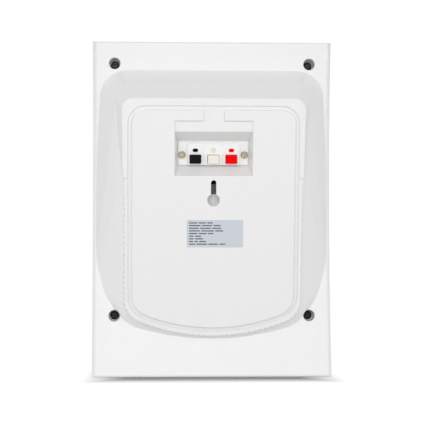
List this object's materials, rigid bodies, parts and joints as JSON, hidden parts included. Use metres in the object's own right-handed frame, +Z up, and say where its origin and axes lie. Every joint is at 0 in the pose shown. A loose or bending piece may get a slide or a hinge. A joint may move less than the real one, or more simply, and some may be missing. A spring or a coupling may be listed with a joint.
{
  "type": "wall speaker",
  "caption": "White wall speaker with a bowed cabinet, a tilted back panel with a fluted rim, a keyhole hanger and a recessed row of push terminals.",
  "frame": {"origin": "bottom centre of the cabinet's bounding box, on the surface that it stands on", "axes": "+X across the cabinet, +Y from the front grille to the back panel on the wall side, +Z up"},
  "size_m": [0.2, 0.0986, 0.28],
  "materials": {
    "abs_white": "semi-gloss",
    "abs_black": "semi-gloss",
    "abs_cream": "semi-gloss",
    "abs_red": "semi-gloss",
    "cloth_black": "matte",
    "cloth_tan": "matte",
    "steel_black": "satin",
    "steel_tinned": "satin",
    "steel_yellow_zinc": "satin",
    "steel_zinc": "satin",
    "steel_grey": "satin",
    "steel_laminated": "matte",
    "spring_steel": "satin",
    "label_film": "semi-gloss",
    "foam_grey": "matte",
    "rubber_black": "matte",
    "paper_grey": "matte",
    "ferrite": "matte",
    "nylon_ivory": "matte",
    "copper": "satin"
  },
  "bodies": {
    "cabinet": {"front_frame": "abs_white", "grille": "abs_white", "acoustic_cloth": "cloth_black", "rear_housing": "abs_white", "housing_screws": "steel_black", "terminal_body": "abs_white", "terminal_contacts": "steel_tinned", "terminal_screws": "steel_yellow_zinc", "spring_black": "spring_steel", "spring_white": "spring_steel", "spring_red": "spring_steel", "rating_label": "label_film", "woofer_gasket": "foam_grey", "woofer_basket": "steel_grey", "woofer_surround": "rubber_black", "woofer_spider": "cloth_tan", "woofer_top_plate": "steel_zinc", "woofer_magnet": "ferrite", "woofer_yoke": "steel_zinc", "woofer_screws": "steel_zinc", "transformer_core": "steel_laminated", "transformer_bobbin": "nylon_ivory", "transformer_winding": "copper", "transformer_bracket": "steel_zinc", "transformer_tags": "steel_tinned", "transformer_screws": "steel_zinc"},
    "cone": {"woofer_cone": "paper_grey", "woofer_dust_cap": "cloth_black", "woofer_voice_coil": "copper"},
    "button_black": {"button_black": "abs_black"},
    "button_white": {"button_white": "abs_cream"},
    "button_red": {"button_red": "abs_red"}
  },
  "joints": [
    {"name": "cone_stroke", "type": "slide", "parent": "cabinet", "child": "cone", "axis": [0, -1, 0], "range_m": [-0.002, 0.002], "stiffness_N_per_m": 1500, "deforming": ["woofer_surround", "woofer_spider"]},
    {"name": "button_black_push", "type": "slide", "parent": "cabinet", "child": "button_black", "axis": [0, -0.9848, 0.1736], "range_m": [0, 0.0025], "stiffness_N_per_m": 150, "springref_m": -0.002, "deforming": ["spring_black"]},
    {"name": "button_white_push", "type": "slide", "parent": "cabinet", "child": "button_white", "axis": [0, -0.9848, 0.1736], "range_m": [0, 0.0025], "stiffness_N_per_m": 150, "springref_m": -0.002, "deforming": ["spring_white"]},
    {"name": "button_red_push", "type": "slide", "parent": "cabinet", "child": "button_red", "axis": [0, -0.9848, 0.1736], "range_m": [0, 0.0025], "stiffness_N_per_m": 150, "springref_m": -0.002, "deforming": ["spring_red"]}
  ]
}
